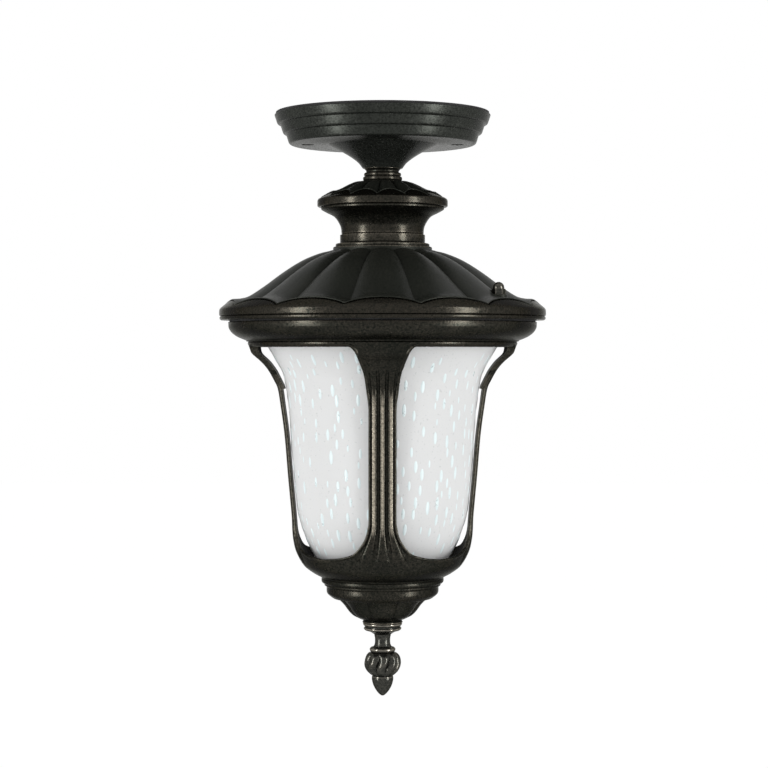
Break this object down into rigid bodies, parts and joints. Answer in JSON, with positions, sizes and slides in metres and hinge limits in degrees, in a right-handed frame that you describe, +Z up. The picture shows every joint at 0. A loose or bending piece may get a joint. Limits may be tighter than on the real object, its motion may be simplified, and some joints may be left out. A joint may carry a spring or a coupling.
{
  "type": "porch ceiling lantern",
  "caption": "Semi-flush porch ceiling lantern: stepped ceiling canopy, petalled roof, four-rib cage round a bell-shaped seeded glass shade, and a finial below.",
  "frame": {"origin": "middle of the ceiling bracket's cable hole, in the plane of the ceiling", "axes": "+Z up into the ceiling along the lantern's axis, X through the two canopy screws, a cage rib faces -Y"},
  "size_m": [0.205, 0.205, 0.3665],
  "materials": {
    "canopy_charcoal": "satin charcoal powder coat with a fine metallic speckle",
    "antique_bronze": "near-black antique bronze with pewter rub on raised edges",
    "pewter_bronze": "rubbed pewter bronze, glossier on the raised gadroons",
    "cap_nut_bronze": "dark bronze cap nut with a polished edge",
    "black_screws": "blackened countersunk screws",
    "zinc_steel": "zinc-plated steel",
    "brass": "plain brass",
    "nickel_cap": "plated lamp cap",
    "opal_lamp": "opal white lamp glass",
    "seeded_glass": "frosted pale seeded glass",
    "black_rubber": "black rubber",
    "holder_plastic": "black phenolic",
    "holder_ceramic": "white glazed insulator",
    "terminal_plastic": "natural nylon",
    "terminal_brass": "plated terminal screws",
    "lead_brown": "brown insulation",
    "lead_blue": "blue insulation",
    "lead_green": "green and yellow insulation"
  },
  "bodies": {
    "root": {"canopy": "canopy_charcoal", "neck_collar": "antique_bronze", "crown_cap": "antique_bronze", "neck_cove": "antique_bronze", "roof": "antique_bronze", "canopy_screws": "black_screws", "ceiling_bracket": "zinc_steel", "threaded_tube": "zinc_steel", "tube_top_washer": "zinc_steel", "tube_top_nut": "zinc_steel", "tube_lower_washer": "zinc_steel", "tube_lower_nut": "zinc_steel", "earth_lug": "zinc_steel", "screw_shell": "brass", "centre_contact": "brass", "earth_screw": "brass", "canopy_gasket": "black_rubber", "roof_seal": "black_rubber", "lampholder_cap": "holder_plastic", "lampholder_barrel": "holder_plastic", "lampholder_core": "holder_ceramic", "terminal_block": "terminal_plastic", "terminal_screws": "terminal_brass", "lead_live": "lead_brown", "lead_neutral": "lead_blue", "lead_earth": "lead_green"},
    "cage": {"cage_studs": "zinc_steel", "cage_crown": "antique_bronze", "cage_basket": "antique_bronze", "rib_rivets": "antique_bronze", "lower_cup": "antique_bronze", "finial": "pewter_bronze", "finial_stud": "zinc_steel", "finial_washer": "zinc_steel", "finial_nut": "zinc_steel", "glass_shade": "seeded_glass", "glass_seat": "black_rubber", "glass_lip_gasket": "black_rubber"},
    "lamp": {"lamp_cap": "nickel_cap", "lamp_bulb": "opal_lamp"},
    "nut_front": {"roof_nut_front": "cap_nut_bronze"},
    "nut_rear": {"roof_nut_rear": "cap_nut_bronze"}
  },
  "joints": [
    {"name": "cage_drop", "type": "slide", "parent": "root", "child": "cage", "axis": [0, 0, -1], "range_m": [0, 0.15]},
    {"name": "lamp_out", "type": "slide", "parent": "root", "child": "lamp", "axis": [0, 0, -1], "range_m": [0, 0.03]},
    {"name": "nut_front_turn", "type": "hinge", "parent": "root", "child": "nut_front", "pos_m": [0.07045, -0.04575, -0.1135], "axis": [0, 0, 1], "continuous": true},
    {"name": "nut_rear_turn", "type": "hinge", "parent": "root", "child": "nut_rear", "pos_m": [-0.07045, 0.04575, -0.1135], "axis": [0, 0, 1], "continuous": true}
  ]
}
